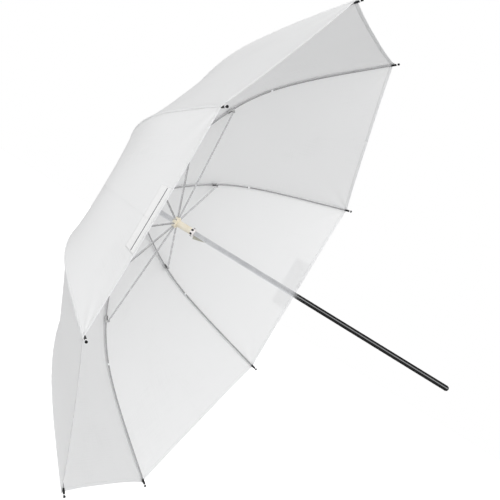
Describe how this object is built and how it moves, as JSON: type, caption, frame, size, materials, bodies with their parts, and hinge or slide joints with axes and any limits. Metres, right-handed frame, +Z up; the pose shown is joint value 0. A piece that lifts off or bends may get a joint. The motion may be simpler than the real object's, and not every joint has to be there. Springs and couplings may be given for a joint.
{
  "type": "umbrella reflector",
  "caption": "Shallow white shoot-through umbrella reflector, open, on a thin polished shaft, with folding ribs, stretchers, a sliding runner and a spring latch.",
  "frame": {"origin": "on the shaft's axis, where a light holder grips the shaft, 260 mm beyond the plane of the rib tips", "axes": "+X along the shaft towards its free end, so the crown of the canopy is at -X; +Z up, with the latch on the shaft's lower side; four of the eight flats of the canopy face +Y, -Y, +Z and -Z"},
  "size_m": [0.5722, 0.7866, 0.7866],
  "materials": {
    "shaft_chrome": "polished",
    "end_cap_steel": "polished",
    "bare_steel": "bright drawn wire",
    "latch_steel": "dull spring steel",
    "hub_plastic": "moulded",
    "crown_plastic": "moulded",
    "runner_cream": "moulded, satin",
    "collar_white": "moulded",
    "rib_steel": "bright drawn rod",
    "tip_black": "moulded",
    "clip_dark": "blackened steel",
    "stretcher_steel": "plated",
    "canopy_white": "thin white woven nylon that light shines through"
  },
  "bodies": {
    "shaft": {"shaft_tube": "shaft_chrome", "shaft_end_cap": "end_cap_steel", "latch_pin": "bare_steel", "notch": "hub_plastic", "notch_wire": "bare_steel", "crown_cap": "crown_plastic"},
    "latch": {"latch": "latch_steel"},
    "runner": {"runner_ring": "runner_cream", "runner_wire": "bare_steel", "runner_sleeve": "runner_cream", "runner_collar": "collar_white"},
    "rib_1": {"rib_1": "rib_steel", "rib_clip_1": "clip_dark"},
    "rib_end_1": {"rib_end_1": "rib_steel", "rib_tip_1": "tip_black", "canopy_1": "canopy_white"},
    "stretcher_1": {"stretcher_1": "stretcher_steel"},
    "rib_2": {"rib_2": "rib_steel", "rib_clip_2": "clip_dark"},
    "rib_end_2": {"rib_end_2": "rib_steel", "rib_tip_2": "tip_black", "canopy_2": "canopy_white"},
    "stretcher_2": {"stretcher_2": "stretcher_steel"},
    "rib_3": {"rib_3": "rib_steel", "rib_clip_3": "clip_dark"},
    "rib_end_3": {"rib_end_3": "rib_steel", "rib_tip_3": "tip_black", "canopy_3": "canopy_white"},
    "stretcher_3": {"stretcher_3": "stretcher_steel"},
    "rib_4": {"rib_4": "rib_steel", "rib_clip_4": "clip_dark"},
    "rib_end_4": {"rib_end_4": "rib_steel", "rib_tip_4": "tip_black", "canopy_4": "canopy_white"},
    "stretcher_4": {"stretcher_4": "stretcher_steel"},
    "rib_5": {"rib_5": "rib_steel", "rib_clip_5": "clip_dark"},
    "rib_end_5": {"rib_end_5": "rib_steel", "rib_tip_5": "tip_black", "canopy_5": "canopy_white"},
    "stretcher_5": {"stretcher_5": "stretcher_steel"},
    "rib_6": {"rib_6": "rib_steel", "rib_clip_6": "clip_dark"},
    "rib_end_6": {"rib_end_6": "rib_steel", "rib_tip_6": "tip_black", "canopy_6": "canopy_white"},
    "stretcher_6": {"stretcher_6": "stretcher_steel"},
    "rib_7": {"rib_7": "rib_steel", "rib_clip_7": "clip_dark"},
    "rib_end_7": {"rib_end_7": "rib_steel", "rib_tip_7": "tip_black", "canopy_7": "canopy_white"},
    "stretcher_7": {"stretcher_7": "stretcher_steel"},
    "rib_8": {"rib_8": "rib_steel", "rib_clip_8": "clip_dark"},
    "rib_end_8": {"rib_end_8": "rib_steel", "rib_tip_8": "tip_black", "canopy_8": "canopy_white"},
    "stretcher_8": {"stretcher_8": "stretcher_steel"}
  },
  "joints": [
    {"name": "rib_1_fold", "type": "hinge", "parent": "shaft", "child": "rib_1", "pos_m": [-0.47, 0.00647, 0.00268], "axis": [0, 0.3827, -0.9239], "range_deg": [0, 73], "deforming": ["canopy_1", "latch"]},
    {"name": "rib_1_bow", "type": "hinge", "parent": "rib_1", "child": "rib_end_1", "pos_m": [-0.43208, 0.19282, 0.07987], "axis": [0, 0.3827, -0.9239], "range_deg": [-27, 0]},
    {"name": "stretcher_1_swing", "type": "hinge", "parent": "rib_1", "child": "stretcher_1", "pos_m": [-0.4283, 0.1916, 0.07937], "axis": [0, 0.3827, -0.9239], "range_deg": [-146, 0]},
    {"name": "rib_2_fold", "type": "hinge", "parent": "shaft", "child": "rib_2", "pos_m": [-0.47, 0.00268, 0.00647], "axis": [0, 0.9239, -0.3827], "range_deg": [0, 73], "deforming": ["canopy_2"]},
    {"name": "rib_2_bow", "type": "hinge", "parent": "rib_2", "child": "rib_end_2", "pos_m": [-0.43208, 0.07987, 0.19282], "axis": [0, 0.9239, -0.3827], "range_deg": [-27, 0]},
    {"name": "stretcher_2_swing", "type": "hinge", "parent": "rib_2", "child": "stretcher_2", "pos_m": [-0.4283, 0.07937, 0.1916], "axis": [0, 0.9239, -0.3827], "range_deg": [-146, 0]},
    {"name": "rib_3_fold", "type": "hinge", "parent": "shaft", "child": "rib_3", "pos_m": [-0.47, -0.00268, 0.00647], "axis": [0, 0.9239, 0.3827], "range_deg": [0, 73], "deforming": ["canopy_3"]},
    {"name": "rib_3_bow", "type": "hinge", "parent": "rib_3", "child": "rib_end_3", "pos_m": [-0.43208, -0.07987, 0.19282], "axis": [0, 0.9239, 0.3827], "range_deg": [-27, 0]},
    {"name": "stretcher_3_swing", "type": "hinge", "parent": "rib_3", "child": "stretcher_3", "pos_m": [-0.4283, -0.07937, 0.1916], "axis": [0, 0.9239, 0.3827], "range_deg": [-146, 0]},
    {"name": "rib_4_fold", "type": "hinge", "parent": "shaft", "child": "rib_4", "pos_m": [-0.47, -0.00647, 0.00268], "axis": [0, 0.3827, 0.9239], "range_deg": [0, 73], "deforming": ["canopy_4"]},
    {"name": "rib_4_bow", "type": "hinge", "parent": "rib_4", "child": "rib_end_4", "pos_m": [-0.43208, -0.19282, 0.07987], "axis": [0, 0.3827, 0.9239], "range_deg": [-27, 0]},
    {"name": "stretcher_4_swing", "type": "hinge", "parent": "rib_4", "child": "stretcher_4", "pos_m": [-0.4283, -0.1916, 0.07937], "axis": [0, 0.3827, 0.9239], "range_deg": [-146, 0]},
    {"name": "rib_5_fold", "type": "hinge", "parent": "shaft", "child": "rib_5", "pos_m": [-0.47, -0.00647, -0.00268], "axis": [0, -0.3827, 0.9239], "range_deg": [0, 73], "deforming": ["canopy_5"]},
    {"name": "rib_5_bow", "type": "hinge", "parent": "rib_5", "child": "rib_end_5", "pos_m": [-0.43208, -0.19282, -0.07987], "axis": [0, -0.3827, 0.9239], "range_deg": [-27, 0]},
    {"name": "stretcher_5_swing", "type": "hinge", "parent": "rib_5", "child": "stretcher_5", "pos_m": [-0.4283, -0.1916, -0.07937], "axis": [0, -0.3827, 0.9239], "range_deg": [-146, 0]},
    {"name": "rib_6_fold", "type": "hinge", "parent": "shaft", "child": "rib_6", "pos_m": [-0.47, -0.00268, -0.00647], "axis": [0, -0.9239, 0.3827], "range_deg": [0, 73], "deforming": ["canopy_6"]},
    {"name": "rib_6_bow", "type": "hinge", "parent": "rib_6", "child": "rib_end_6", "pos_m": [-0.43208, -0.07987, -0.19282], "axis": [0, -0.9239, 0.3827], "range_deg": [-27, 0]},
    {"name": "stretcher_6_swing", "type": "hinge", "parent": "rib_6", "child": "stretcher_6", "pos_m": [-0.4283, -0.07937, -0.1916], "axis": [0, -0.9239, 0.3827], "range_deg": [-146, 0]},
    {"name": "rib_7_fold", "type": "hinge", "parent": "shaft", "child": "rib_7", "pos_m": [-0.47, 0.00268, -0.00647], "axis": [0, -0.9239, -0.3827], "range_deg": [0, 73], "deforming": ["canopy_7"]},
    {"name": "rib_7_bow", "type": "hinge", "parent": "rib_7", "child": "rib_end_7", "pos_m": [-0.43208, 0.07987, -0.19282], "axis": [0, -0.9239, -0.3827], "range_deg": [-27, 0]},
    {"name": "stretcher_7_swing", "type": "hinge", "parent": "rib_7", "child": "stretcher_7", "pos_m": [-0.4283, 0.07937, -0.1916], "axis": [0, -0.9239, -0.3827], "range_deg": [-146, 0]},
    {"name": "rib_8_fold", "type": "hinge", "parent": "shaft", "child": "rib_8", "pos_m": [-0.47, 0.00647, -0.00268], "axis": [0, -0.3827, -0.9239], "range_deg": [0, 73], "deforming": ["canopy_8"]},
    {"name": "rib_8_bow", "type": "hinge", "parent": "rib_8", "child": "rib_end_8", "pos_m": [-0.43208, 0.19282, -0.07987], "axis": [0, -0.3827, -0.9239], "range_deg": [-27, 0]},
    {"name": "stretcher_8_swing", "type": "hinge", "parent": "rib_8", "child": "stretcher_8", "pos_m": [-0.4283, 0.1916, -0.07937], "axis": [0, -0.3827, -0.9239], "range_deg": [-146, 0]},
    {"name": "runner_ride", "type": "hinge", "parent": "stretcher_1", "child": "runner", "pos_m": [-0.38661, 0.00647, 0.00268], "axis": [0, 0.3827, -0.9239], "range_deg": [0, 73]},
    {"name": "latch_press", "type": "hinge", "parent": "shaft", "child": "latch", "pos_m": [-0.32921, 0, -0.002], "axis": [0, 1, 0], "range_deg": [0, 14], "stiffness_Nm_per_rad": 0.02, "springref_deg": -11.46}
  ],
  "couplings": [
    {"joint": "rib_1_bow", "follows": "rib_1_fold", "ratio": -0.36986},
    {"joint": "stretcher_1_swing", "follows": "rib_1_fold", "ratio": -2},
    {"joint": "rib_2_fold", "follows": "rib_1_fold", "ratio": 1},
    {"joint": "rib_2_bow", "follows": "rib_1_fold", "ratio": -0.36986},
    {"joint": "stretcher_2_swing", "follows": "rib_1_fold", "ratio": -2},
    {"joint": "rib_3_fold", "follows": "rib_1_fold", "ratio": 1},
    {"joint": "rib_3_bow", "follows": "rib_1_fold", "ratio": -0.36986},
    {"joint": "stretcher_3_swing", "follows": "rib_1_fold", "ratio": -2},
    {"joint": "rib_4_fold", "follows": "rib_1_fold", "ratio": 1},
    {"joint": "rib_4_bow", "follows": "rib_1_fold", "ratio": -0.36986},
    {"joint": "stretcher_4_swing", "follows": "rib_1_fold", "ratio": -2},
    {"joint": "rib_5_fold", "follows": "rib_1_fold", "ratio": 1},
    {"joint": "rib_5_bow", "follows": "rib_1_fold", "ratio": -0.36986},
    {"joint": "stretcher_5_swing", "follows": "rib_1_fold", "ratio": -2},
    {"joint": "rib_6_fold", "follows": "rib_1_fold", "ratio": 1},
    {"joint": "rib_6_bow", "follows": "rib_1_fold", "ratio": -0.36986},
    {"joint": "stretcher_6_swing", "follows": "rib_1_fold", "ratio": -2},
    {"joint": "rib_7_fold", "follows": "rib_1_fold", "ratio": 1},
    {"joint": "rib_7_bow", "follows": "rib_1_fold", "ratio": -0.36986},
    {"joint": "stretcher_7_swing", "follows": "rib_1_fold", "ratio": -2},
    {"joint": "rib_8_fold", "follows": "rib_1_fold", "ratio": 1},
    {"joint": "rib_8_bow", "follows": "rib_1_fold", "ratio": -0.36986},
    {"joint": "stretcher_8_swing", "follows": "rib_1_fold", "ratio": -2},
    {"joint": "runner_ride", "follows": "rib_1_fold", "ratio": 1}
  ]
}
